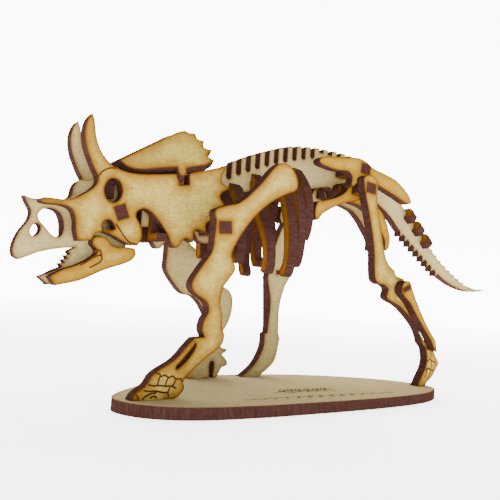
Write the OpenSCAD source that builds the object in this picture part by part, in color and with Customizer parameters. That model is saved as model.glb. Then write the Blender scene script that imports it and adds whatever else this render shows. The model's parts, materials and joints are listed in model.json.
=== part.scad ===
// Wooden jigsaw model of a horned dinosaur skeleton standing on an oval base.
// Every piece is cut from one thickness of sheet and joined by slots, tabs and cross bars.
// The head points to -X, the left side of the animal faces -Y and Z = 0 is under the base.

/* [Sheet] */
// Thickness of the sheet that every piece is cut from
sheet = 3.0; // [2.8:0.05:3.1]
// Clearance on each side of a slot, hole or notch
fit_gap = 0.05; // [0.03:0.01:0.09]

/* [Layout across the body] */
// Middle plane to the centre of a skull side plate
skull_offset = 5.0; // [4.8:0.05:5.3]
// Middle plane to the centre of a leg plate
leg_offset = 14.9; // [14.8:0.1:16]
// Middle plane to the centre of a hip blade
hip_offset = 11.7; // [11.4:0.05:11.75]
// Middle plane to the centre of a forward lower hip plate
pubis_offset = 8.5; // [8.2:0.05:8.5]
// Middle plane to the centre of a rear lower hip plate
ischium_offset = 3.3; // [3.2:0.05:4.5]

/* [Cross bars] */
// Width of a cross bar
bar_width = 4.0; // [3.6:0.1:4.2]

/* [Ribs] */
// Width of a rib between its outer and inner edge
rib_width = 3.4; // [3:0.1:3.8]

/* [Backbone] */
// Number of long slots between the spines of the back
spine_slots = 10; // [4:1:10]
// Width of a slot between two spines
spine_slot_width = 1.8; // [1.4:0.1:2]
// Number of teeth along the underside of the tail
tail_teeth = 9; // [5:1:9]
// Number of small teeth along the top of the tail
tail_barbs = 9; // [5:1:9]

/* [Frill] */
// Turn of a frill plate away from the length of the model
frill_turn = 15; // [12:1:16]
// Lean of a frill plate towards the middle
frill_lean = 25; // [22:1:28]

/* [Node shown] */
// Piece to draw, or all of them

/* [Hidden] */

$fn = 40;
curve_steps = 5;
slot_width = sheet + 2 * fit_gap;
half = sheet / 2;
leg_outer = leg_offset + half;
skull_inner = skull_offset - half - fit_gap;
face_colour = [0.80, 0.68, 0.45];
edge_colour = [0.62, 0.45, 0.28];

// ---- curves ----
// A point is [x, y] where the outline runs smoothly through it, or [x, y, 1] at a sharp corner.
function xy(p) = [p.x, p.y];
function unit(v) = v / norm(v);
function is_corner(p) = len(p) > 2;
function travel(pts, i) = unit(xy(pts[(i + 1) % len(pts)]) - xy(pts[(i + len(pts) - 1) % len(pts)]));
function heading(pts, i, chord) = is_corner(pts[i]) ? chord : travel(pts, i) * norm(chord);
function bend(a, ta, b, tb, t) =
    a * (2 * t ^ 3 - 3 * t ^ 2 + 1) + ta * (t ^ 3 - 2 * t ^ 2 + t) + b * (3 * t ^ 2 - 2 * t ^ 3) + tb * (t ^ 3 - t ^ 2);

// Closed outline through the points: straight between two corners, curved elsewhere.
function outline(pts) = [
    for (i = [0 : len(pts) - 1])
        let (
            j = (i + 1) % len(pts),
            a = xy(pts[i]),
            b = xy(pts[j]),
            chord = b - a,
            steps = is_corner(pts[i]) && is_corner(pts[j]) ? 1 : curve_steps
        )
        for (s = [0 : steps - 1])
            bend(a, heading(pts, i, chord), b, heading(pts, j, chord), s / steps)
];

module shape(pts) {
    polygon(outline(pts));
}

// ---- placing flat pieces ----
// Piece standing along the body: drawn in X and Z, its middle at the given Y.
module side_plate(y) {
    translate([0, y + half, 0])
        rotate([90, 0, 0])
            linear_extrude(sheet)
                children();
}

// Piece standing across the body: drawn in Y and Z, its middle at the given X.
module cross_plate(x) {
    translate([x - half, 0, 0])
        rotate([90, 0, 90])
            linear_extrude(sheet)
                children();
}

// Rectangle of a cross bar as it is cut through a side plate, turned by tilt in the X and Z plane.
module bar_hole(at, size, tilt) {
    translate(at)
        rotate(tilt)
            square([size.x + 2 * fit_gap, size.y + 2 * fit_gap], center = true);
}

// Cross bar that reaches the same distance out on both sides.
module cross_bar(at, size, tilt, reach) {
    translate([0, reach, 0])
        rotate([90, 0, 0])
            linear_extrude(2 * reach)
                translate(at)
                    rotate(tilt)
                        square(size, center = true);
}

// ---- base ----
base_points = [
    [-55.2, -13], [-51.6, -21.6], [-42, -27.5], [-25, -30], [-5, -30.5], [17, -30.3], [35, -28.8], [48, -25.5],
    [57.2, -19], [57.9, -9.5], [49.8, 2], [37, 10.5], [22, 16.5], [4, 19], [-14, 18.2], [-30, 12.5], [-43.5, 2], [-52, -6]
];

// Foot tabs as [middle X, length] in the base, for each leg
foot_tab_left_front = [-47, 7];
foot_tab_right_front = [-16, 5];
foot_tab_left_hind = [54.4, 3];
foot_tab_right_hind = [4.5, 5];

module foot_slot(tab, side) {
    translate([tab.x, side * leg_offset])
        square([tab.y + 2 * fit_gap, slot_width], center = true);
}

// Corners of the tab under a sole, from its rear end to its front end
function sole_tab(tab) = [
    [tab.x + tab.y / 2, sheet, 1], [tab.x + tab.y / 2, 0, 1], [tab.x - tab.y / 2, 0, 1], [tab.x - tab.y / 2, sheet, 1]
];

module base() {
    color(face_colour)
        linear_extrude(sheet)
            difference() {
                shape(base_points);
                foot_slot(foot_tab_left_front, -1);
                foot_slot(foot_tab_right_front, 1);
                foot_slot(foot_tab_left_hind, -1);
                foot_slot(foot_tab_right_hind, 1);
            }
}

// ---- head ----
// Bars through the head as [centre, tilt]; each is one sheet thick
head_bar = [[-54.4, 48.4], 24];
head_bar_height = 3.4;
brow_x = -57;
brow_bottom = 52;
brow_top = 57.5;

module head_bar_hole() {
    bar_hole(head_bar[0], [sheet, head_bar_height], head_bar[1]);
}

core_points = [
    [-77.2, 49.8, 1], [-75.2, 49.3], [-72.5, 49.6], [-68.4, 49.8], [-66, 51.2], [-65.4, 53.8], [-64, 55.6],
    [-62.2, 55.9], [-60, 56.8], [-57, 58], [-53, 57.6, 1], [-50.3, 57.6, 1], [-50.3, 36.3, 1], [-57.5, 34],
    [-63.5, 31], [-69.8, 29.2, 1], [-72, 30.8, 1], [-69.4, 31.9]
];
// Jagged front of the mouth from the lower jaw up to the beak
tooth_foot = [-66.6, 33.4];
tooth_head = [-63.6, 38.7];
mouth_teeth = 5;
tooth_depth = 1.0;
beak_points = [
    [-67.5, 38], [-72, 36.8], [-75, 35.4], [-76.8, 34.5, 1], [-78.2, 35.3], [-78.5, 37.6], [-77.4, 41], [-75.6, 44],
    [-75.2, 46.2], [-76.2, 48, 1]
];
function tooth_point(i, out) =
    let (along = tooth_head - tooth_foot, across = unit([-along.y, along.x]))
    concat(tooth_foot + along * (i / mouth_teeth) + across * out, [1]);
mouth_points = [for (i = [0 : mouth_teeth - 2]) each [tooth_point(i + 0.15, 0), tooth_point(i + 0.5, tooth_depth)]];
nasal_opening = [
    [-73.4, 44.9], [-72.8, 46.8], [-70.5, 47.6], [-68.2, 46.6], [-67, 43.6], [-67.6, 41], [-69.4, 40.9], [-71, 42.3]
];

nostril_points = [[-75, 41.8], [-74, 43.4], [-72.9, 43.2], [-72.6, 41.8], [-73.6, 40.4], [-74.7, 40.5]];

module skull_core_plate() {
    color(face_colour)
        side_plate(0)
            difference() {
                shape(concat(core_points, mouth_points, [concat(tooth_head, [1])], beak_points));
                shape(nasal_opening);
                shape(nostril_points);
                head_bar_hole();
                brow_notch();
            }
}

// Lower half of the crossed joint of core and brow plate
module brow_notch() {
    translate([brow_x - slot_width / 2, (brow_bottom + brow_top) / 2 - fit_gap])
        square([slot_width, 20]);
}

module brow_cross_plate() {
    color(edge_colour)
        cross_plate(brow_x)
            difference() {
                translate([-skull_inner, brow_bottom])
                    square([2 * skull_inner, brow_top - brow_bottom]);
                translate([-slot_width / 2, 0])
                    square([slot_width, (brow_bottom + brow_top) / 2 + fit_gap]);
            }
}

horn_points = [
    [-61.2, 55.2], [-62.9, 59], [-64.9, 63.2], [-65.6, 67], [-65.1, 70], [-64.1, 71.7, 1], [-63.4, 70], [-62.7, 66.5],
    [-61.2, 63], [-58.6, 60.3]
];
frill_notch = [[-39, 61, 1], [-38.6, 57.9, 1], [-35.4, 58.5, 1], [-35.8, 61.6, 1]];
frill_teeth = [
    [-23.6, 66, 1], [-25.2, 61.3], [-22.3, 59.7, 1], [-25.2, 57.2], [-23.5, 54.7, 1], [-26.5, 52.7], [-25.5, 50, 1],
    [-29, 48.7], [-28.8, 46, 1], [-32.6, 46.4], [-33, 43, 1], [-35.5, 43.8], [-38.2, 41]
];
arch_points = [[-41.2, 44.6], [-44, 47.8], [-47, 50], [-48.9, 50], [-50.4, 48.4], [-49, 45.8]];
cheek_points = [
    [-48.3, 43], [-49.2, 40.5, 1], [-51.6, 40.5], [-53.6, 41.2, 1], [-56.4, 42.4], [-58.6, 42.9], [-60.7, 42.2],
    [-61.6, 40.5, 1]
];
snout_points = [
    [-65, 40, 1], [-65.7, 42.5], [-66, 45], [-67, 47.2], [-69, 48.1], [-73.5, 48], [-74.7, 48.5], [-73.8, 49.3],
    [-68.5, 49.6], [-65, 51.2]
];

module skull_plate(side) {
    color(face_colour)
        difference() {
            side_plate(side * skull_offset)
                difference() {
                    shape(concat(
                        horn_points, [[-56.5, 59.3], [-52, 58.8], [-46, 59.6]], frill_notch, frill_teeth,
                        arch_points, cheek_points, snout_points
                    ));
                    eye_socket();
                    cheek_hole();
                    head_bar_hole();
                }
            frill_solid(side, fit_gap);
        }
}

module eye_socket() {
    shape([
        [-59.4, 53.2], [-58.9, 55.4], [-57.4, 56.6], [-55.6, 56.1], [-54.6, 53.9], [-55.1, 51.7], [-56.7, 50.5],
        [-58.5, 51.1]
    ]);
}

module cheek_hole() {
    shape([[-59, 45.2], [-57.4, 46.1], [-56, 44.9], [-55.8, 43.9], [-57.4, 43.5], [-58.9, 43.7]]);
}

jaw_points = [
    [-60.2, 41.4], [-58.4, 41.9], [-56.6, 41.4], [-55.6, 40.1], [-54, 39.6], [-51.4, 39.9], [-49, 39.8, 1],
    [-48.7, 38], [-50.4, 36.2], [-57, 33.5], [-63, 30.5], [-68.8, 28.9, 1], [-70.4, 30.9, 1], [-67.4, 32.8],
    [-64, 34.2], [-61, 35.9], [-59, 38], [-60.5, 39.8]
];

// Lower jaw glued against the face of the core
module jaw_plate(side) {
    color(face_colour)
        side_plate(side * (sheet + fit_gap))
            shape(jaw_points);
}

// Frill half drawn from its front point along its lower edge, then up its toothed rear edge
frill_start = [-54, -3.7, 62.5];
frill_points = [
    [-1, -0.5, 1], [1.5, -2.3], [5, -2.4], [9, -1.3], [14.4, 0, 1], [14.9, -2.2], [16, -2.7], [16.8, -2, 1],
    [17, 0.1, 1], [22.5, 2, 1], [25, 4, 1], [23.3, 5.4], [24.6, 7.5, 1], [22.3, 8], [22.4, 10.2, 1], [20.6, 10.6],
    [20, 12.4, 1], [18.5, 12.2], [17, 12.8, 1], [14.5, 11.6, 1]
];

// Frill half turned outwards at the back and leaning in to the middle at the top, thicker by gap on each side
module frill_solid(side, gap) {
    mirror([0, side > 0 ? 1 : 0, 0])
        translate(frill_start)
            rotate([0, 0, -frill_turn])
                rotate([90 - frill_lean, 0, 0])
                    translate([0, 0, -sheet - gap])
                        linear_extrude(sheet + 2 * gap)
                            shape(frill_points);
}

module frill_plate(side) {
    color(face_colour)
        frill_solid(side, 0);
}

// Flat bar through the core and both skull plates
module skull_pin() {
    color(edge_colour)
        cross_bar(head_bar[0], [sheet, head_bar_height], head_bar[1], skull_offset + half);
}

// ---- backbone and tail ----
shoulder_tab = [[-29.2, 47.1], 6];
shoulder_tab_length = 3.6;
bar_hip_upper = [[25.6, 73.1], -4];
bar_hip_lower = [[25.2, 66.4], -4];

// The slots follow one another a little further apart towards the tail
function slot_x(k) = -19.6 + 3.3 * k + 0.03 * k ^ 2;
function slot_bottom(k) = 63.4 + 1.75 * k - 0.042 * k ^ 2;

back_points = [
    [-20.6, 67.4], [-16, 70.2], [-8, 73.9], [2.5, 77.8], [11, 79.3], [20, 79.9], [29, 80], [37, 78.6], [46, 74.8],
    [54, 69.8], [61, 64.2], [68, 58.2]
];
tail_tip_points = [[99, 39.7], [107, 38.5], [114.5, 38.9, 1]];
tail_end_points = [[105, 37.4], [98, 37.7], [90.5, 39.2], [84.5, 41.3]];
belly_points = [
    [56.4, 58], [51.8, 61.8], [45, 65.4], [37, 68.4], [31, 69.4], [28.6, 67.4], [27.6, 64.4], [25.2, 63.7],
    [22.8, 64.4], [21.6, 67.2], [17.5, 67], [13, 65.8], [5.1, 64.6], [-2.7, 63.4], [-10, 61.4], [-18.5, 58.6], [-21.8, 53], [-22.4, 47], [-24.6, 44], [-28, 44], [-30.6, 46.8], [-34.5, 48],
    [-39.5, 46.6], [-46.5, 46, 1], [-46.5, 56.6, 1], [-38, 57], [-31, 58.6], [-24.2, 62.4]
];
// Straight line that carries the teeth under the tail, and the one that carries the barbs on top
teeth_start = [58.6, 56.6];
teeth_end = [80.2, 43.5];
barb_start = [73.5, 53.9];
barb_end = [97, 40.3];

function span(a, b, t) = a + (b - a) * t;

function corner(p) = [p.x, p.y, 1];

// Teeth from the tail forwards, as corners of the outline
function tooth_corners() =
    let (along = unit(teeth_end - teeth_start), out = [along.y, -along.x])
    [
        for (i = [tail_teeth - 1 : -1 : 0])
            let (root = span(teeth_start, teeth_end, i / (tail_teeth - 1)))
            each [corner(root + along * 0.9), corner(root + out * 1.7), corner(root - along * 0.9)]
    ];

// Barbs from the hips backwards, as corners of the outline; their row sags in the middle
function barb_corners() =
    let (along = unit(barb_end - barb_start), out = [-along.y, along.x], sag = 1.1)
    [
        for (i = [0 : tail_barbs - 1])
            let (t = i / (tail_barbs - 1), root = span(barb_start, barb_end, t) - out * sag * sin(180 * t))
            each [corner(root - along * 0.8), corner(root + out * 0.9 + along * 0.6), corner(root + along * 0.7)]
    ];

module spine_slot(k) {
    bottom = slot_bottom(k) + spine_slot_width / 2;
    translate([slot_x(k), bottom])
        circle(spine_slot_width / 2);
    translate([slot_x(k) - spine_slot_width / 2, bottom])
        square([spine_slot_width, 20]);
}

// Shallow notches that carry on the row of spines over the hips
module hip_notches() {
    for (k = [spine_slots : spine_slots + 4])
        translate([slot_x(k) - spine_slot_width / 2, 78.3])
            square([spine_slot_width, 5]);
}

module spine_plate() {
    color(face_colour)
        side_plate(0)
            difference() {
                shape(concat(
                    back_points, barb_corners(), tail_tip_points, tail_end_points, tooth_corners(), belly_points
                ));
                for (k = [0 : spine_slots - 1])
                    spine_slot(k);
                hip_notches();
                neck_slot();
                shoulder_hole();
                hip_hole(bar_hip_upper);
                hip_hole(bar_hip_lower);
                for (rib = ribs)
                    rib_notch(rib);
                for (at = tail_plate_at)
                    tail_notch(at);
            }
}

// Cross plate that carries the skull: it hangs over the neck and its wings hold up the arches of the skull
neck_x = -42.8;
neck_lap = 49;
neck_bottom = 42.4;
neck_wing_top = 44.4;
neck_top = 52;
neck_wing = 7.2;

// Slot in the neck, open at the top, for the upper half of the neck cross plate
module neck_slot() {
    translate([neck_x - slot_width / 2, neck_lap - fit_gap])
        square([slot_width, 20]);
}

module neck_cross_plate() {
    color(edge_colour)
        cross_plate(neck_x)
            difference() {
                union() {
                    translate([-neck_wing, neck_bottom])
                        square([2 * neck_wing, neck_wing_top - neck_bottom]);
                    translate([-skull_inner, neck_bottom])
                        square([2 * skull_inner, neck_top - neck_bottom]);
                }
                translate([-slot_width / 2, neck_bottom - 1])
                    square([slot_width, neck_lap + fit_gap - neck_bottom + 1]);
            }
}

// Level plate behind the skull that joins the two front legs through the root of the neck
shoulder_front = 0.9;
shoulder_back = 5.4;

// One half of the shoulder plate, in X from its tab centre and Y
shoulder_half_points = [
    [shoulder_back, 9, 1], [4, 12, 1], [1.8, 13.3, 1], [1.8, leg_outer, 1], [-1.8, leg_outer, 1], [-1.8, 12.6, 1],
    [-0.8, 10, 1], [shoulder_front, 8.2, 1]
];
shoulder_other_half = [for (p = reversed(shoulder_half_points)) [p.x, -p.y, 1]];

module shoulder_plate() {
    color(edge_colour)
        translate([shoulder_tab[0].x, 0, shoulder_tab[0].y])
            rotate([0, -shoulder_tab[1], 0])
                translate([0, 0, -half])
                    linear_extrude(sheet)
                        shape(concat(shoulder_half_points, shoulder_other_half));
}

// Hole in the backbone for the shoulder plate
module shoulder_hole() {
    translate(shoulder_tab[0])
        rotate(shoulder_tab[1])
            translate([shoulder_front - fit_gap, -half - fit_gap])
                square([shoulder_back - shoulder_front + 2 * fit_gap, slot_width]);
}

// Tail cross plates as [X, Z] of their middle on the top of the tail
tail_plate_at = [[61.8, 63.2], [66.7, 59], [71.6, 54.8]];
tail_slope = -40;
tail_plate_width = 8.6;
tail_plate_height = 5;

module tail_notch(at) {
    translate(at)
        rotate(tail_slope)
            translate([-slot_width / 2, -fit_gap])
                square([slot_width, tail_plate_height]);
}

// Rounded plate across the tail, notched from below where it straddles the backbone
module tail_plate(at) {
    height = tail_plate_height / 2;
    color(edge_colour)
        translate([at.x, 0, at.y])
            rotate([0, -tail_slope, 0])
                cross_plate(0)
                    difference() {
                        shape([
                            [-tail_plate_width / 2, -height + 0.6], [-tail_plate_width / 2, 0.8],
                            [-tail_plate_width / 4, height], [0, height + 0.3], [tail_plate_width / 4, height],
                            [tail_plate_width / 2, 0.8], [tail_plate_width / 2, -height + 0.6],
                            [tail_plate_width / 4, -height], [0, -height], [-tail_plate_width / 4, -height]
                        ]);
                        translate([-slot_width / 2, -tail_plate_height])
                            square([slot_width, tail_plate_height + fit_gap]);
                    }
}

// ---- ribs ----
// Each rib as [middle X, height of its top, height of its joint, outer edge], the outer edge being
// [half width, height] from the shoulder down to the tip
ribs = [
    [-21.8, 60.4, 57.4, [[4.5, 56.8], [7.4, 52], [8.4, 46], [7.4, 40]]],
    [-17.8, 62.2, 60.2, [[4.8, 60.4], [6.4, 55], [7.4, 49], [8, 44.2], [7, 38.9]]],
    [-10.0, 66.4, 63.9, [[3.8, 64.6], [5, 59], [7.4, 53.4], [10, 49], [11.6, 44.9], [12.2, 40.6], [11.4, 36.6]]],
    [-2.8, 68.6, 66.0, [[4.4, 67.2], [9.2, 60.6], [12.2, 52.1], [13, 45.6], [12.6, 39.8], [11, 36]]],
    [1.1, 69.8, 67.3, [[4.4, 68.4], [8.6, 63.5], [11.4, 56.6], [12.2, 49.9], [11.5, 42.6], [9.8, 39.2]]],
    [5.1, 71.0, 68.2, [[4, 70], [8.2, 64.8], [10.1, 59.5], [10.5, 53.8], [8.8, 48]]]
];
rib_tip_share = 0.62;
rib_crotch = 3;

function reversed(list) = [for (i = [len(list) - 1 : -1 : 0]) list[i]];

// Inner edge of a rib arm: the outer edge moved inwards by a width that narrows towards the tip
function rib_inner(outer) =
    let (last = len(outer) - 1)
    [
        for (i = [1 : last])
            let (
                along = unit(outer[min(i + 1, last)] - outer[max(i - 1, 0)]),
                width = rib_width * (1 - (1 - rib_tip_share) * i / last)
            )
            outer[i] + [along.y, -along.x] * width
    ];

function rib_side(rib, side) = [for (p = concat(rib[3], reversed(rib_inner(rib[3])))) [side * p.x, p.y]];

module rib_outline(rib) {
    top = rib[1];
    shape(concat(
        [[-2.4, top, 1], [2.4, top, 1]], rib_side(rib, 1), [[0, rib[2] - rib_crotch]], reversed(rib_side(rib, -1))
    ));
}

// A rib hooks up into the backbone from below, so its own slot is open at the top
module rib(number) {
    rib = ribs[number - 1];
    color(edge_colour)
        cross_plate(rib[0])
            difference() {
                rib_outline(rib);
                translate([-slot_width / 2, rib[2] - fit_gap])
                    square([slot_width, 20]);
            }
}

module rib_notch(rib) {
    translate([rib[0] - slot_width / 2, rib[2] - 20])
        square([slot_width, 20 + fit_gap]);
}

// ---- front legs ----
shoulder_blade_points = [
    [-8.5, 67.3], [-5.6, 64], [-5.6, 61], [-8.5, 59.4], [-13, 57], [-17, 54], [-20.5, 50.5], [-23.5, 46.5]
];
shoulder_front_points = [[-32.2, 48.5], [-32.8, 51], [-30, 52.6], [-25, 54.4], [-18.5, 60.5], [-12.6, 67.2]];
left_front_points = [
    [-25.3, 43.5], [-26.7, 40], [-25.2, 36.5], [-27, 33.5], [-28.7, 31], [-29.2, 27.2], [-28.2, 23.5], [-28.2, 21],
    [-27.2, 18.6], [-28.2, 16], [-32, 13.2], [-36, 10], [-38.6, 7.2], [-38.2, 5.6], [-39.6, 3.6, 1],
    [-41.2, sheet, 1], each sole_tab(foot_tab_left_front), [-52.6, sheet, 1], [-51.6, 4.6], [-48.8, 6.6],
    [-47.6, 8.6, 1], [-46.2, 9.8], [-41.4, 12.6], [-38.2, 16], [-36.2, 18, 1], [-33.3, 18.3, 1], [-34.2, 20.2], [-33.8, 22.6], [-32.6, 25], [-33.4, 27.2],
    [-37.4, 29.6], [-38.2, 31.8], [-36.2, 35.4], [-32.9, 40.4], [-32.4, 44.5]
];
right_front_points = [
    [-19, 42], [-14, 36.5], [-9.5, 32.4], [-6, 30.4], [-4.8, 27], [-5.6, 21.5], [-8.4, 16.5], [-8.6, 13.2],
    [-5.4, 11.8, 1], [-7.6, 10.4, 1], [-5.2, 7.4], [-7.4, 6.2, 1], [-9.2, sheet, 1], [-10.6, sheet, 1], [-11.2, 8.4],
    [-11.9, sheet, 1],
    each sole_tab(foot_tab_right_front), [-20.4, sheet, 1], [-19.2, 5.8], [-15.6, 9.6], [-13.6, 13], [-13.2, 17], [-13.8, 21],
    [-16.5, 25.4], [-19.6, 28.2],
    [-23.6, 29], [-26.8, 31.8], [-29.9, 36], [-30, 40], [-30.2, 44]
];

module forearm_gap() {
    shape([[-35.6, 16.6], [-36.8, 15.4], [-39.6, 12.2], [-40.9, 10.4], [-39.2, 11.2], [-36.6, 14]]);
}

module front_leg(side, leg_points) {
    color(face_colour)
        side_plate(side * leg_offset)
            difference() {
                shape(concat(shoulder_blade_points, leg_points, shoulder_front_points));
                bar_hole(shoulder_tab[0], [shoulder_tab_length, sheet], shoulder_tab[1]);
                if (side < 0)
                    forearm_gap();
            }
}

// ---- hips and hind legs ----
hip_blade_points = [
    [5.4, 71.8], [7, 73.6], [15.5, 75], [22, 76], [26, 75.4], [29, 74], [35, 73], [40.6, 71.8], [46.4, 68.6],
    [48.8, 65.8], [47.4, 64.7], [41, 66.4], [35.5, 67.8], [30, 69], [24, 69.2], [20.4, 66.4, 1], [19.2, 66.6, 1],
    [19.6, 69.4], [17.6, 70.9], [13.5, 70.5], [8.5, 70.8]
];
pubis_points = [
    [8.3, 59.8], [11, 60.8], [15.8, 62.4], [20, 64.8], [22.4, 68.2], [25.4, 69.4], [28.4, 67.8], [28.4, 64.6],
    [25.4, 62.8], [21.5, 61.8], [15.6, 59.4], [11.2, 56.9], [8.3, 54.6]
];
ischium_points = [
    [22, 65.4], [22.4, 68.2], [25.4, 69.4], [28.6, 68.4], [32, 66.8], [37, 65.4], [42, 63.2], [45, 60.6],
    [47, 57.3], [48.4, 53.8], [48.3, 50.6], [47, 48.8, 1], [46, 49.2], [46, 51.6], [45, 53.6], [43, 55.7],
    [40.5, 58.5], [38, 60.5], [35.5, 62], [31, 63], [27.6, 63.2], [24.6, 63.6]
];
knee_left = [[41, 35.4], 25];
knee_right = [[14.2, 38.4], 8];
pin_length = 3.4;
pin_width = 1.3;

left_hind_points = [
    [21.6, 68.6], [23.4, 70.3], [26.4, 70.4], [28.2, 68.4], [28.1, 63], [30.4, 55], [33, 46.4], [35.2, 42.8],
    [38, 41.1], [39.2, 39.4], [43, 38.4], [43.4, 36.6], [43.2, 32.6], [47.6, 27], [52.4, 21], [55.8, 17.8],
    [59, 16.7], [61.5, 13.2], [63.4, 10.6], [62.4, 9.2], [60.4, 6.4], [57.4, 4.2], [56.6, sheet, 1],
    each sole_tab(foot_tab_left_hind), [52.4, sheet, 1],
    [54.2, 6], [56.2, 9], [57, 12], [56, 16, 1], [54, 17.4, 1], [51.8, 21.6], [48, 25.2], [42, 29.2],
    [37, 31], [35, 32.2], [35.5, 34.8], [33.4, 36.1, 1], [31.2, 36.2], [29.4, 37.4], [28.7, 40], [28, 47],
    [25.6, 56]
];
right_hind_points = [
    [21.6, 68.6], [23.4, 70.3], [26.4, 70.4], [28.4, 68.4], [27.2, 62], [22.4, 54.5], [19, 47.5], [18.8, 42],
    [19, 38], [16.4, 33], [14.8, 26], [15, 17.5, 1], [15.8, 15.8, 1], [14.2, 8.4], [11.4, 5.6], [8.6, 3.6],
    [8, sheet, 1], each sole_tab(foot_tab_right_hind), [0.4, sheet, 1], [3.2, 4.8],
    [6.4, 7.8], [9, 13], [9.2, 17.4, 1], [10.2, 17.6, 1], [10.8, 28], [9.6, 33.4], [9, 36.6], [10.4, 41],
    [11.6, 48], [15, 56], [19.6, 63]
];
calf_left_points = [
    [38.6, 34.4], [39.2, 36.8], [40.8, 37.9], [42.6, 37.6], [44, 35.2], [46.8, 30.8], [51.6, 24.4], [55.2, 20.6],
    [57, 18.8], [58.2, 15, 1], [56.8, 15.6, 1], [54.6, 18.8], [51.4, 22], [47, 26.4], [43, 30.8], [40, 32.8]
];
calf_right_points = [
    [12.2, 39.6], [13.8, 41], [16.2, 40.6], [17.4, 38.4], [16.4, 34], [15.4, 28], [15, 22], [15, 18.8, 1],
    [12.8, 18.8, 1], [12.4, 24], [11.9, 30], [11.5, 36]
];

// Flat bar across the hips
module hip_bar(bar, reach) {
    color(edge_colour)
        cross_bar(bar[0], [bar_width, sheet], bar[1], reach);
}

module hip_hole(bar) {
    bar_hole(bar[0], [bar_width, sheet], bar[1]);
}

module knee_hole(knee) {
    bar_hole(knee[0], [pin_length, pin_width], knee[1]);
}

module hip_blade(side) {
    color(face_colour)
        side_plate(side * hip_offset)
            difference() {
                shape(hip_blade_points);
                hip_hole(bar_hip_upper);
                hip_hole(bar_hip_lower);
            }
}

module pubis(side) {
    color(face_colour)
        side_plate(side * pubis_offset)
            difference() {
                shape(pubis_points);
                hip_hole(bar_hip_lower);
            }
}

module ischium(side) {
    color(face_colour)
        side_plate(side * ischium_offset)
            difference() {
                shape(ischium_points);
                hip_hole(bar_hip_lower);
            }
}

module hind_leg(side, leg_points, knee) {
    color(face_colour)
        side_plate(side * leg_offset)
            difference() {
                shape(leg_points);
                hip_hole(bar_hip_lower);
                knee_hole(knee);
            }
}

module calf_plate(side, calf_points, knee) {
    color(face_colour)
        side_plate(side * (leg_offset + sheet + fit_gap))
            difference() {
                shape(calf_points);
                knee_hole(knee);
            }
}

// Flat pin that ties the calf plate to the leg plate
module knee_pin(side, knee) {
    inner = leg_offset - half;
    length = 2 * sheet + fit_gap;
    color(edge_colour)
        translate([0, side > 0 ? inner + length : -inner, 0])
            rotate([90, 0, 0])
                linear_extrude(length)
                    translate(knee[0])
                        rotate(knee[1])
                            square([pin_length, pin_width], center = true);
}

base();
skull_core_plate();
skull_plate(-1);  // skull_plate_left
skull_plate(1);  // skull_plate_right
jaw_plate(-1);  // jaw_plate_left
jaw_plate(1);  // jaw_plate_right
frill_plate(-1);  // frill_plate_left
frill_plate(1);  // frill_plate_right
skull_pin();
brow_cross_plate();
spine_plate();
neck_cross_plate();
shoulder_plate();
rib(1);  // rib_1
rib(2);  // rib_2
rib(3);  // rib_3
rib(4);  // rib_4
rib(5);  // rib_5
rib(6);  // rib_6
front_leg(-1, left_front_points);  // front_leg_left
front_leg(1, right_front_points);  // front_leg_right
hip_bar(bar_hip_upper, hip_offset + half);  // hip_bar_upper
hip_bar(bar_hip_lower, leg_outer);  // hip_bar_lower
hip_blade(-1);  // hip_blade_left
hip_blade(1);  // hip_blade_right
pubis(-1);  // pubis_left
pubis(1);  // pubis_right
ischium(-1);  // ischium_left
ischium(1);  // ischium_right
hind_leg(-1, left_hind_points, knee_left);  // hind_leg_left
hind_leg(1, right_hind_points, knee_right);  // hind_leg_right
calf_plate(-1, calf_left_points, knee_left);  // calf_plate_left
calf_plate(1, calf_right_points, knee_right);  // calf_plate_right
knee_pin(-1, knee_left);  // knee_pin_left
knee_pin(1, knee_right);  // knee_pin_right
tail_plate(tail_plate_at[0]);  // tail_plate_1
tail_plate(tail_plate_at[1]);  // tail_plate_2
tail_plate(tail_plate_at[2]);  // tail_plate_3
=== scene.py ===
"""Looks of a laser-cut wooden dinosaur jigsaw: scorched boards, dark cut edges and engraved lines."""

import json
import math

import bpy
import numpy as np
from mathutils import Matrix, Vector
from mathutils.geometry import delaunay_2d_cdt


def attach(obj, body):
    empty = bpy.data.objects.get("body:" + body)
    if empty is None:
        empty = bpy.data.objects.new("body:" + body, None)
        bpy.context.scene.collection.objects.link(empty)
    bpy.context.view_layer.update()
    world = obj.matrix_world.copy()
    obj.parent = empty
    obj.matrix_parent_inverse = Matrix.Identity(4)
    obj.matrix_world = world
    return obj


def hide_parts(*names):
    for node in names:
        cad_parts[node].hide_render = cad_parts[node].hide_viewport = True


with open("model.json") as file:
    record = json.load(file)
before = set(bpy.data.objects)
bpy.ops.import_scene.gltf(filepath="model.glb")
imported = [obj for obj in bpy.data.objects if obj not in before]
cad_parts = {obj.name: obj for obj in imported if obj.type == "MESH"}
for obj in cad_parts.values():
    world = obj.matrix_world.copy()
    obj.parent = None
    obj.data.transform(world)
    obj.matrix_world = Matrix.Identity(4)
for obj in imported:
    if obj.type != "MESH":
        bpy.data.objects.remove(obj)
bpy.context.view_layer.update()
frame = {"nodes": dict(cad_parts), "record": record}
BODIES = frame["record"]["behaviour"]["bodies"]

MM = 0.001

# ---- meshes and objects ----


def new_object(name, data):
    obj = bpy.data.objects.new(name, data)
    bpy.context.scene.collection.objects.link(obj)
    return obj


def new_mesh(name, corners, faces, *materials):
    mesh = bpy.data.meshes.new(name)
    mesh.from_pydata([tuple(c) for c in corners], [], faces)
    mesh.update()
    for material in materials:
        mesh.materials.append(material)
    return mesh


def node_span(node, axis):
    """Lowest and highest place of a CAD node along an axis, in millimetres."""
    places = [vertex.co[axis] / MM for vertex in frame["nodes"][node].data.vertices]
    return min(places), max(places)


# ---- materials ----

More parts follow.
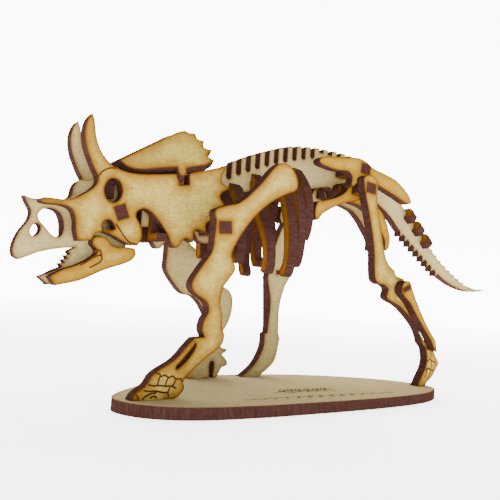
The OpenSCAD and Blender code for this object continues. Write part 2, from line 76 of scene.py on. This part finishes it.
# Places of the factor and the two colours among the sockets of a mix node, and of its colour result
MIX_COLOUR_INPUTS = (0, 6, 7)
MIX_COLOUR_OUTPUT = 2


def make_nodes(name):
    """A new material that has no mirror-like reflection, with its node tree and its shader."""
    material = bpy.data.materials.new(name)
    material.use_nodes = True
    tree = material.node_tree
    shader = tree.nodes["Principled BSDF"]
    shader.inputs["Specular IOR Level"].default_value = 0.0
    return material, tree, shader


def add(tree, kind, **settings):
    """A new node; each setting goes to the input of that name or, if it has none, to the node's property."""
    node = tree.nodes.new(kind)
    for key, value in settings.items():
        if key in node.inputs:
            node.inputs[key].default_value = value
        else:
            setattr(node, key, value)
    return node


def stretched_position(tree, scale=(1, 1, 1)):
    """Object position in millimetres, stretched by a factor along each axis."""
    place = add(tree, "ShaderNodeTexCoord")
    mapping = add(tree, "ShaderNodeMapping")
    mapping.inputs["Scale"].default_value = [s / MM for s in scale]
    tree.links.new(place.outputs["Object"], mapping.inputs["Vector"])
    return mapping.outputs["Vector"]


def noise(tree, position, scale, detail, rough):
    node = add(tree, "ShaderNodeTexNoise", Scale=scale, Detail=detail, Roughness=rough)
    tree.links.new(position, node.inputs["Vector"])
    return node.outputs["Fac"]


def ramp(tree, value, stops):
    """Colour ramp through (position, colour) stops."""
    node = add(tree, "ShaderNodeValToRGB")
    elements = node.color_ramp.elements
    while len(elements) < len(stops):
        elements.new(0.5)
    for element, (at, colour) in zip(elements, stops):
        element.position = at
        element.color = (*colour, 1.0)
    tree.links.new(value, node.inputs["Fac"])
    return node.outputs["Color"]


def grey_ramp(tree, value, stops):
    """Ramp through (position, grey level) stops."""
    return ramp(tree, value, [(at, (level, level, level)) for at, level in stops])


def math_node(tree, operation, *values, clamp=False):
    node = add(tree, "ShaderNodeMath", operation=operation, use_clamp=clamp)
    for socket, value in zip(node.inputs, values):
        if isinstance(value, (int, float)):
            socket.default_value = value
        else:
            tree.links.new(value, socket)
    return node.outputs[0]


def mix(tree, factor, a, b):
    """Colour between a and b; colours and the factor may be values or sockets."""
    node = add(tree, "ShaderNodeMix", data_type="RGBA")
    for index, value in zip(MIX_COLOUR_INPUTS, (factor, a, b)):
        socket = node.inputs[index]
        if isinstance(value, tuple):
            socket.default_value = (*value, 1.0)
        elif isinstance(value, (int, float)):
            socket.default_value = value
        else:
            tree.links.new(value, socket)
    return node.outputs[MIX_COLOUR_OUTPUT]


def bump(tree, shader, height, strength, distance):
    node = add(tree, "ShaderNodeBump", Strength=strength, Distance=distance)
    tree.links.new(height, node.inputs["Height"])
    tree.links.new(node.outputs["Normal"], shader.inputs["Normal"])


# Colours are linear red, green and blue.
SCORCH = (0.06, 0.018, 0.004)
FLECK = (0.17, 0.095, 0.03)
EDGE_DARK = (0.030, 0.012, 0.010)
EDGE_WARM = (0.070, 0.030, 0.023)
LINE_DARK = (0.035, 0.01, 0.004)
LINE_WARM = (0.09, 0.032, 0.008)

# Finish of a board's face: colours of the pale fibre, the dark fibre and the browned rim, then the width of
# the rim in mm and the strength of its browning
FINISHES = {
    "near": ((0.49, 0.395, 0.105), (0.37, 0.27, 0.05), (0.22, 0.092, 0.004), 2.9, 1.0),
    "amber": ((0.47, 0.345, 0.07), (0.36, 0.23, 0.03), (0.24, 0.105, 0.004), 3.6, 1.0),
    "plain": ((0.45, 0.385, 0.185), (0.35, 0.285, 0.12), (0.28, 0.16, 0.035), 1.5, 0.7),
    "rib": ((0.24, 0.105, 0.018), (0.15, 0.06, 0.01), (0.12, 0.04, 0.006), 2.2, 0.9),
    "base": ((0.31, 0.26, 0.135), (0.25, 0.20, 0.095), (0.22, 0.125, 0.03), 1.0, 0.6),
}

FIBRE_STRETCH = (0.35, 1.2, 1.2)
CLOUD_SHARE = 0.35
# The browned rim wanders: noise between 0 and 1, times the swing and added to the start, gives its reach as
# a multiple of the stated width.
HALO_SWING = 3.6
HALO_START = -0.6
HALO_LEAST_MM = 0.3
SCORCH_SHARE = 0.8
# The lines of a cut edge are drawn out through the thickness of the sheet.
STREAK_STRETCH = 0.12


def browned_rim(tree, here, wood, amber, halo_mm, halo_share):
    """Wood colour turned amber near the outline and dark right at it."""
    distance = add(tree, "ShaderNodeAttribute", attribute_name="rim_mm").outputs["Fac"]
    wander = noise(tree, here, scale=0.3, detail=4.0, rough=0.7)
    reach = math_node(tree, "MULTIPLY_ADD", wander, halo_mm * HALO_SWING, halo_mm * HALO_START)
    reach = math_node(tree, "MAXIMUM", reach, HALO_LEAST_MM)
    near_rim = math_node(tree, "DIVIDE", distance, reach, clamp=True)
    halo = grey_ramp(tree, near_rim, [(0.0, 1.0), (0.35, 0.62), (1.0, 0.0)])
    browned = mix(tree, math_node(tree, "MULTIPLY", halo, halo_share), wood, amber)
    scorch = grey_ramp(tree, distance, [(0.0, 1.0), (0.25, 0.55), (0.6, 0.0)])
    return mix(tree, math_node(tree, "MULTIPLY", scorch, SCORCH_SHARE * halo_share), browned, SCORCH)


def face_material(name, pale, pale_dark, amber, halo_mm, halo_share):
    """Board face: mottled pale fibre with fine dark flecks, browned towards the burnt outline."""
    material, tree, shader = make_nodes(name)
    here = stretched_position(tree)
    fibre = noise(tree, stretched_position(tree, FIBRE_STRETCH), scale=2.4, detail=6.0, rough=0.7)
    cloud = noise(tree, here, scale=0.16, detail=3.0, rough=0.6)
    wood = ramp(tree, fibre, [(0.40, pale_dark), (0.58, pale)])
    wood = mix(tree, math_node(tree, "MULTIPLY", cloud, CLOUD_SHARE), wood, amber)
    fleck = noise(tree, here, scale=2.7, detail=2.0, rough=0.5)
    wood = mix(tree, grey_ramp(tree, fleck, [(0.3, 0.85), (0.38, 0.0)]), wood, FLECK)
    browned = browned_rim(tree, here, wood, amber, halo_mm, halo_share)
    tree.links.new(browned, shader.inputs["Base Color"])
    tree.links.new(grey_ramp(tree, fibre, [(0.3, 0.5), (0.7, 0.68)]), shader.inputs["Roughness"])
    bump(tree, shader, math_node(tree, "ADD", fibre, fleck), strength=0.35, distance=0.00012)
    return material


def edge_material(name, thick_axis):
    """Burnt cut edge: dark, with fine lines that run through the thickness of the sheet."""
    material, tree, shader = make_nodes(name)
    stretch = [STREAK_STRETCH if axis == thick_axis else 1.0 for axis in range(3)]
    streak = noise(tree, stretched_position(tree, stretch), scale=2.6, detail=5.0, rough=0.65)
    soot = noise(tree, stretched_position(tree), scale=0.5, detail=3.0, rough=0.5)
    colour = ramp(tree, streak, [(0.36, EDGE_DARK), (0.68, EDGE_WARM)])
    colour = mix(tree, math_node(tree, "MULTIPLY", soot, 0.5), colour, EDGE_DARK)
    tree.links.new(colour, shader.inputs["Base Color"])
    tree.links.new(grey_ramp(tree, streak, [(0.3, 0.42), (0.7, 0.62)]), shader.inputs["Roughness"])
    bump(tree, shader, streak, strength=0.5, distance=0.00015)
    return material


FACES = {name: face_material("board_" + name, *finish) for name, finish in FINISHES.items()}
EDGES = [edge_material("cut_edge_" + letter, axis) for axis, letter in enumerate("xyz")]

# ---- boards ----

# Grid of the board faces, and the part of a step that grid points keep from the outline
BOARD_STEP_MM = 0.7
BASE_STEP_MM = 1.2
RIM_CLEAR_SHARE = 0.35
# Faces count as looking along the normal from this cosine on; corners are matched to a micrometre.
SAME_WAY = 0.99
KEYS_PER_METRE = 1e6
FAR_AWAY = 1e9
FILL_TOLERANCE = 1e-9
TINY_LENGTH = 1e-15
TINY_SQUARE = 1e-18
# A board lies flat when the cosine between its normal and Z is above this.
FLAT_COSINE = 0.9
# Order of a board's materials
NORMAL_SIDE = 0
OTHER_SIDE = 1
CUT_EDGE = 2


def flat_axis(obj):
    """Unit normal of the two board faces: the direction with the most face area."""
    area = {}
    for polygon in obj.data.polygons:
        way = tuple(round(c, 2) for c in polygon.normal)
        if way <= (0, 0, 0):
            way = tuple(-c for c in way)
        area[way] = area.get(way, 0.0) + polygon.area
    return Vector(max(area, key=area.get)).normalized()


def board_axes(normal):
    """Directions u and v for drawing on a board."""
    side = Vector((0, 0, 1)) if abs(normal.z) < FLAT_COSINE else Vector((1, 0, 0))
    u = side.cross(normal).normalized()
    return u, normal.cross(u)


def rim_loops(obj, normal, u, v):
    """Outlines of the board face that looks along the normal, as lists of 2D points in metres."""
    points = {}
    used = {}
    for polygon in obj.data.polygons:
        if polygon.normal.dot(normal) < SAME_WAY:
            continue
        ring = [obj.data.vertices[i].co for i in polygon.vertices]
        keys = [tuple(round(c * KEYS_PER_METRE) for c in p) for p in ring]
        for key, p in zip(keys, ring):
            points[key] = (p.dot(u), p.dot(v))
        for a, b in zip(keys, keys[1:] + keys[:1]):
            used[(a, b)] = used.get((a, b), 0) + 1
    follow = {a: b for (a, b) in used if (b, a) not in used}
    loops = []
    while follow:
        start, at = follow.popitem()
        loop = [points[start]]
        while at != start:
            loop.append(points[at])
            at = follow.pop(at)
        loops.append(loop)
    return loops


def rim_distance(where, loops):
    """Distance of each point to the nearest outline, and whether it lies inside the board."""
    where = np.asarray(where, float).reshape(-1, 2)
    nearest = np.full(len(where), FAR_AWAY)
    inside = np.zeros(len(where), bool)
    for loop in loops:
        a = np.array(loop)
        b = np.roll(a, -1, 0)
        for p, q in zip(a, b):
            d = q - p
            t = np.clip((where - p) @ d / max(d @ d, TINY_SQUARE), 0, 1)
            nearest = np.minimum(nearest, np.linalg.norm(where - p - t[:, None] * d, axis=1))
            crosses = (p[1] > where[:, 1]) != (q[1] > where[:, 1])
            rise = d[1] if abs(d[1]) > TINY_LENGTH else TINY_LENGTH
            inside ^= crosses & (where[:, 0] < p[0] + d[0] * (where[:, 1] - p[1]) / rise)
    return nearest, inside


def split_long(loop, limit):
    """Outline with its long straight runs cut into steps."""
    out = []
    for a, b in zip(loop, loop[1:] + loop[:1]):
        steps = max(1, math.ceil(math.dist(a, b) / limit))
        out += [(a[0] + (b[0] - a[0]) * s / steps, a[1] + (b[1] - a[1]) * s / steps) for s in range(steps)]
    return out


def fill_board(loops, step):
    """Points and triangles that fill the outlines with a fine grid, and each point's distance to the rim."""
    everything = np.array([p for loop in loops for p in loop])
    low, high = everything.min(0), everything.max(0)
    grid = np.stack(np.meshgrid(np.arange(low[0], high[0], step), np.arange(low[1], high[1], step)), -1)
    grid = grid.reshape(-1, 2)
    nearest, inside = rim_distance(grid, loops)
    grid = grid[inside & (nearest > step * RIM_CLEAR_SHARE)]
    points = [Vector(p) for p in everything] + [Vector(p) for p in grid]
    edges = []
    start = 0
    for loop in loops:
        edges += [(start + i, start + (i + 1) % len(loop)) for i in range(len(loop))]
        start += len(loop)
    made, _, triangles, *_ = delaunay_2d_cdt(points, edges, [], 0, FILL_TOLERANCE)
    made = np.array([tuple(p) for p in made])
    centres = np.array([made[list(t)].mean(0) for t in triangles])
    _, keep = rim_distance(centres, loops)
    nearest, _ = rim_distance(made, loops)
    return made, [t for t, k in zip(triangles, keep) if k], nearest


class Board:
    """Mesh data of a board, with the material number of each face and the rim distance of each corner."""

    def __init__(self, u, v, normal):
        self.axes = (u, v, normal)
        self.corners = []
        self.faces = []
        self.material_index = []
        self.rim_mm = []

    def add_corner(self, point, height, rim_mm):
        u, v, normal = self.axes
        self.corners.append(u * point[0] + v * point[1] + normal * height)
        self.rim_mm.append(rim_mm)

    def add_flat(self, points, triangles, nearest, height, side):
        """One of the two flat faces, turned to look along the normal or against it."""
        start = len(self.corners)
        for point, distance in zip(points, nearest):
            self.add_corner(point, height, distance / MM)
        for t in triangles:
            a, b, c = (start + i for i in t)
            turn = np.cross(points[t[1]] - points[t[0]], points[t[2]] - points[t[0]]) > 0
            self.faces.append((a, b, c) if turn == (side == NORMAL_SIDE) else (a, c, b))
            self.material_index.append(side)

    def add_edge(self, loop, low, high):
        """The cut edge along one outline."""
        start = len(self.corners)
        count = len(loop)
        for point in loop:
            self.add_corner(point, high, 0.0)
            self.add_corner(point, low, 0.0)
        for i in range(count):
            a = start + 2 * i
            b = start + 2 * ((i + 1) % count)
            self.faces.append((a, a + 1, b + 1, b))
            self.material_index.append(CUT_EDGE)


def build_board(node, body, step_mm):
    """A board mesh in place of a CAD node: two finely meshed faces and the cut edge between them."""
    source = frame["nodes"][node]
    normal = flat_axis(source)
    u, v = board_axes(normal)
    heights = [vertex.co.dot(normal) for vertex in source.data.vertices]
    low, high = min(heights), max(heights)
    loops = [split_long(loop, step_mm * MM) for loop in rim_loops(source, normal, u, v)]
    points, triangles, nearest = fill_board(loops, step_mm * MM)
    board = Board(u, v, normal)
    board.add_flat(points, triangles, nearest, high, NORMAL_SIDE)
    board.add_flat(points, triangles, nearest, low, OTHER_SIDE)
    for loop in loops:
        board.add_edge(loop, low, high)
    thick_axis = max(range(3), key=lambda axis: abs(normal[axis]))
    materials = (*face_pair(node, normal), EDGES[thick_axis])
    mesh = new_mesh(node + "_board", board.corners, board.faces, *materials)
    layer = mesh.attributes.new("rim_mm", "FLOAT", "POINT")
    layer.data.foreach_set("value", np.array(board.rim_mm, np.float32))
    mesh.polygons.foreach_set("material_index", board.material_index)
    obj = new_object(node + "_board", mesh)
    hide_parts(node)
    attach(obj, body)


# Beginnings of the names of the nodes with a finish of their own
CROSS_PIECES = ("rib_", "tail_plate", "neck_cross", "brow", "shoulder_plate", "skull_pin", "hip_bar", "knee")
SMALL_BONES = ("jaw_plate", "hip_blade", "pubis", "calf_plate", "ischium")


def face_kind(node):
    """Finish of a node's outer face."""
    if node == "base":
        return "base"
    if node.startswith(CROSS_PIECES):
        return "rib"
    if node.startswith(SMALL_BONES):
        return "amber"
    if node.endswith(("_left", "_right")):
        return "near"
    return "plain"


def face_pair(node, normal):
    """Materials of a board's two faces, the one along the normal first. Only outer faces are browned."""
    kind = face_kind(node)
    if kind not in ("amber", "near"):
        return FACES[kind], FACES[kind]
    if (normal.y > 0) == node.endswith("_right"):
        return FACES[kind], FACES["plain"]
    return FACES["plain"], FACES[kind]


def build_all():
    for body, nodes in BODIES.items():
        for node in nodes:
            build_board(node, body, BASE_STEP_MM if node == "base" else BOARD_STEP_MM)


build_all()

# ---- engraved lines ----

# Height of a line's strip above the face, and its width on the boards and on the base, in millimetres
LINE_LIFT = 0.015
BOARD_LINE = 0.44
BASE_LINE = 0.5
# A line narrows to this part of its width at its ends.
LINE_END_SHARE = 0.55
SHORTEST = 1e-9

# Lines on the left boards, as (X, Z) in millimetres
# Skull: behind the small cheek hole, below that hole, and over the eye at the root of the horn
SKULL_LINES = [
    [(-55.7, 45.4), (-54.4, 43.9), (-52.9, 42.1), (-51.4, 41.0), (-49.9, 40.8)],
    [(-59.1, 44.1), (-58.9, 43.2), (-58.8, 42.9)],
    [(-61.6, 55.6), (-61.0, 56.9), (-60.0, 58.1), (-58.4, 59.0), (-56.8, 59.2)],
]
# Jaw: a bent line in front of the hinge and a long one that runs up to it
JAW_LINES = [
    [
        (-60.4, 37.0), (-59.7, 37.9), (-58.9, 38.4), (-58.2, 38.2), (-58.0, 37.2), (-57.7, 36.3),
        (-58.2, 35.4), (-59.4, 34.6), (-60.9, 33.8),
    ],
    [(-63.1, 34.2), (-61.9, 35.0), (-60.2, 36.3), (-58.8, 37.0), (-58.1, 37.2)],
]
# Front foot: the scalloped ankle, three lines down from it, two rows across, then the tips of the toes
FRONT_TOE_LINES = [
    [
        (-46.6, 9.4), (-45.4, 9.2), (-44.9, 8.6), (-44.0, 8.9), (-42.8, 8.3), (-41.8, 8.6), (-40.7, 7.9),
        (-39.5, 7.9), (-38.9, 7.2),
    ],
    [(-45.1, 8.7), (-45.5, 7.7), (-45.7, 6.4)],
    [(-42.8, 8.3), (-43.3, 7.5), (-43.5, 6.3)],
    [(-40.7, 7.9), (-41.1, 6.9), (-41.7, 6.1)],
    [(-48.2, 6.7), (-46.9, 6.4), (-45.2, 6.4), (-43.3, 6.2), (-41.6, 6.1), (-40.4, 5.5)],
    [(-49.3, 5.3), (-47.6, 5.1), (-45.9, 5.1), (-44.2, 4.7), (-42.8, 4.7)],
    [(-51.2, 4.4), (-50.7, 3.9), (-50.5, 3.2)],
    [(-49.5, 3.2), (-48.7, 3.9), (-47.4, 4.5), (-45.7, 4.7)],
    [(-42.2, 5.9), (-42.7, 4.6), (-42.4, 3.6)],
    [(-47.5, 3.4), (-46.5, 3.9), (-45.6, 3.5)],
]
# Hind foot: three rows across, then four lines down between them
HIND_TOE_LINES = [
    [(56.6, 15.2), (57.6, 15.8), (58.8, 15.3), (60.0, 14.6)],
    [(57.3, 11.4), (58.6, 12.1), (60.2, 11.3), (62.0, 10.9)],
    [(56.4, 8.3), (57.8, 9.0), (59.4, 8.4), (61.0, 8.1)],
    [(58.5, 15.4), (59.2, 13.6), (58.8, 12.0)],
    [(59.2, 11.8), (59.6, 10.0), (58.9, 8.7)],
    [(57.4, 8.9), (57.0, 7.2), (56.2, 5.8)],
    [(59.3, 8.4), (58.7, 6.8), (57.6, 5.2)],
]
# Ornament on the base, as (X, Y) in millimetres: ends and size of the wave, then the stem of the sprig.
# The tip of a leaf is measured from its root, and its belly and hollow from its middle.
WAVE_START = np.array((-24.0, -22.4))
WAVE_END = np.array((32.0, -23.6))
WAVE_SIZE = np.array((1.3, 1.2))
STEM = [(-8.0, -14.6), (0.0, -13.2), (8.0, -13.8), (17.0, -12.4)]
LEAF_TIP = np.array((3.0, 2.6))
LEAF_BELLY = np.array((-0.7, 0.5))
LEAF_HOLLOW = np.array((0.7, -0.3))

SIDE_ENGRAVINGS = {
    "engraved_skull": ("skull_plate_left", SKULL_LINES),
    "engraved_jaw": ("jaw_plate_left", JAW_LINES),
    "engraved_toes": ("front_leg_left", FRONT_TOE_LINES),
    "engraved_hind_toes": ("hind_leg_left", HIND_TOE_LINES),
}


def engraved_material():
    material, tree, shader = make_nodes("engraved_line")
    soot = noise(tree, stretched_position(tree), scale=1.3, detail=4.0, rough=0.6)
    colour = ramp(tree, soot, [(0.35, LINE_DARK), (0.7, LINE_WARM)])
    tree.links.new(colour, shader.inputs["Base Color"])
    tree.links.new(grey_ramp(tree, soot, [(0.3, 0.7), (0.7, 0.85)]), shader.inputs["Roughness"])
    bump(tree, shader, soot, strength=0.4, distance=0.0001)
    return material


ENGRAVED = engraved_material()


def smooth_line(points, steps=6):
    """Catmull-Rom curve through the points."""
    pts = [np.array(p, float) for p in points]
    pts = [2 * pts[0] - pts[1]] + pts + [2 * pts[-1] - pts[-2]]
    out = []
    for a, b, c, d in zip(pts, pts[1:], pts[2:], pts[3:]):
        square = 2 * a - 5 * b + 4 * c - d
        cube = 3 * b - a - 3 * c + d
        for s in range(steps):
            t = s / steps
            out.append(0.5 * (2 * b + (c - a) * t + square * t**2 + cube * t**3))
    return out + [pts[-2]]


def ribbon(lines, width, place):
    """Corners and faces of flat strips along the lines; place turns 2D points in mm into 3D points in mm."""
    corners = []
    faces = []
    for line in lines:
        line = [np.array(p, float) for p in line]
        start = len(corners)
        for i, p in enumerate(line):
            ahead = line[min(i + 1, len(line) - 1)] - line[max(i - 1, 0)]
            side = np.array([-ahead[1], ahead[0]]) / max(np.linalg.norm(ahead), SHORTEST)
            taper = LINE_END_SHARE if i in (0, len(line) - 1) else 1.0
            for way in (1, -1):
                q = p + side * way * taper * width / 2
                corners.append(tuple(c * MM for c in place(*q)))
        for a in range(start, len(corners) - 2, 2):
            faces.append((a, a + 1, a + 3, a + 2))
    return corners, faces


def engrave(name, node, lines, width, place):
    """Strips of burnt line that ride with the body of the node they are cut into."""
    body = next(body for body, nodes in BODIES.items() if node in nodes)
    corners, faces = ribbon(lines, width, place)
    obj = new_object(name, new_mesh(name, corners, faces, ENGRAVED))
    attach(obj, body)


def on_left_of(node):
    """Place on the left face of a board, from X and Z."""
    outer_y = node_span(node, 1)[0]
    return lambda x, z: (x, outer_y - LINE_LIFT, z)


def on_top_of(node):
    """Place on the upper face of a board, from X and Y."""
    top = node_span(node, 2)[1]
    return lambda x, y: (x, y, top + LINE_LIFT)


def build_engraving():
    """Lines burnt into the left boards and a plain ornament on the base."""
    for name, (node, lines) in SIDE_ENGRAVINGS.items():
        engrave(name, node, [smooth_line(line) for line in lines], BOARD_LINE, on_left_of(node))
    ornament = [flourish(), *leaf_sprig()]
    engrave("engraved_flourish", "base", ornament, BASE_LINE, on_top_of("base"))


def flourish():
    """A long wave of even loops along the front edge of the base, widest in the middle."""
    loops, per_loop = 14, 10
    points = []
    for step in range(loops * per_loop + 1):
        t = step / (loops * per_loop)
        swing = 2 * math.pi * loops * t
        swell = math.sin(math.pi * t)
        along = WAVE_START + (WAVE_END - WAVE_START) * t
        points.append(along + swell * WAVE_SIZE * (math.sin(swing), math.cos(swing)))
    return smooth_line(points, steps=2)


def leaf(root, side):
    """Outline of a small leaf that leans along X, to one side of the stem."""
    tip = root + LEAF_TIP * (1, side)
    middle = (root + tip) / 2
    belly = middle + LEAF_BELLY * (1, side)
    hollow = middle + LEAF_HOLLOW * (1, side)
    return smooth_line([root, belly, tip, hollow, root], steps=4)


def leaf_sprig():
    """A stem with pairs of small leaves, behind the flourish."""
    pairs, first, spacing = 6, 4, 4
    places = smooth_line(STEM, steps=10)
    lines = [smooth_line(STEM)]
    for index in range(pairs):
        root = places[first + index * spacing]
        lines += [leaf(root, side) for side in (1, -1)]
    return lines


build_engraving()

# ---- floor, light and camera ----

WHITE = (1.0, 1.0, 1.0, 1.0)
WALL_COLOUR = (0.9, 0.9, 0.9, 1.0)
# Emission of the floor at the origin. The wall and the far floor glow by a multiple of it.
LIT_WHITE = 3.4
WALL_GLOW = 2.0
FLOOR_GLOW_MOST = 1.75
WORLD_STRENGTH = 0.35
# From this far out, in metres, the floor glows more by this much with each metre.
GLOW_START = 0.15
GLOW_RISE = 9.0
# Places and sizes of the floor and the wall, in metres
FLOOR_REACH = 3.0
FLOOR_DROP = 0.0002
WALL_DISTANCE = 0.9
WALL_REACH = 1.6
WALL_HEIGHT = 1.8
WALL_SINK = 0.01

VIEW = Vector((0.5841, 0.8080, 0.0772))
CAMERA_PLACE = Vector((-0.11582, -0.14780, 0.02938))
CAMERA_ROLL = math.radians(3.862)
LENS = 43.2
SENSOR = 36
NEAR_CLIP = 0.01
LIT_POINT = Vector((0, 0, 0.04))


def stage_backdrop():
    """Lit white wall well behind the model."""
    away = Vector((VIEW.x, VIEW.y, 0.0)).normalized()
    along = Vector((away.y, -away.x, 0.0))
    foot = away * WALL_DISTANCE - Vector((0, 0, WALL_SINK))
    ends = [foot - along * WALL_REACH, foot + along * WALL_REACH]
    corners = ends + [end + Vector((0, 0, WALL_HEIGHT)) for end in reversed(ends)]
    material, tree, shader = make_nodes("lit_backdrop")
    shader.inputs["Base Color"].default_value = WALL_COLOUR
    shader.inputs["Emission Color"].default_value = WHITE
    shader.inputs["Emission Strength"].default_value = LIT_WHITE * WALL_GLOW
    obj = new_object("backdrop", new_mesh("backdrop", corners, [(0, 1, 2, 3)], material))


def floor_material():
    """Pale floor, lit a little from within and more so further away, so that no horizon shows."""
    material, tree, shader = make_nodes("pale_floor")
    grain = noise(tree, stretched_position(tree), scale=0.05, detail=2.0, rough=0.5)
    tree.links.new(grey_ramp(tree, grain, [(0.3, 0.86), (0.7, 0.9)]), shader.inputs["Base Color"])
    shader.inputs["Roughness"].default_value = 0.9
    shader.inputs["Emission Color"].default_value = WHITE
    away = add(tree, "ShaderNodeVectorMath", operation="LENGTH")
    tree.links.new(add(tree, "ShaderNodeTexCoord").outputs["Object"], away.inputs[0])
    past = math_node(tree, "SUBTRACT", away.outputs["Value"], GLOW_START, clamp=True)
    glow = math_node(tree, "ADD", math_node(tree, "MULTIPLY", past, GLOW_RISE), LIT_WHITE)
    glow = math_node(tree, "MINIMUM", glow, LIT_WHITE * FLOOR_GLOW_MOST)
    tree.links.new(glow, shader.inputs["Emission Strength"])
    return material


def stage_floor():
    corners = [(FLOOR_REACH * x, FLOOR_REACH * y, 0) for x, y in ((-1, -1), (1, -1), (1, 1), (-1, 1))]
    obj = new_object("floor", new_mesh("floor", corners, [(0, 1, 2, 3)], floor_material()))
    obj.location.z = -FLOOR_DROP


def area_light(name, place, size, power):
    """Square light that points at the middle of the model."""
    data = bpy.data.lights.new(name, "AREA")
    data.size = size
    data.energy = power
    obj = new_object(name, data)
    obj.location = place
    obj.rotation_euler = (LIT_POINT - Vector(place)).to_track_quat("-Z", "Y").to_euler()


def set_world():
    world = bpy.data.worlds.new("studio")
    world.use_nodes = True
    background = world.node_tree.nodes["Background"]
    background.inputs["Color"].default_value = WHITE
    background.inputs["Strength"].default_value = WORLD_STRENGTH
    bpy.context.scene.world = world


def set_camera():
    """Camera at the left front of the model, slightly rolled, looking a little upwards."""
    forward = VIEW.normalized()
    level = Vector((forward.y, -forward.x, 0)).normalized()
    upright = level.cross(forward)
    right = level * math.cos(CAMERA_ROLL) + upright * math.sin(CAMERA_ROLL)
    up = upright * math.cos(CAMERA_ROLL) - level * math.sin(CAMERA_ROLL)
    data = bpy.data.cameras.new("camera")
    data.lens = LENS
    data.sensor_width = SENSOR
    data.clip_start = NEAR_CLIP
    obj = new_object("camera", data)
    matrix = Matrix((right, up, -forward)).transposed().to_4x4()
    matrix.translation = CAMERA_PLACE
    obj.matrix_world = matrix
    bpy.context.scene.camera = obj


stage_floor()
stage_backdrop()
set_world()
set_camera()
area_light("key", (-0.35, -0.55, 0.55), size=0.5, power=3.5)
area_light("fill", (0.5, -0.3, 0.4), size=0.6, power=1.6)
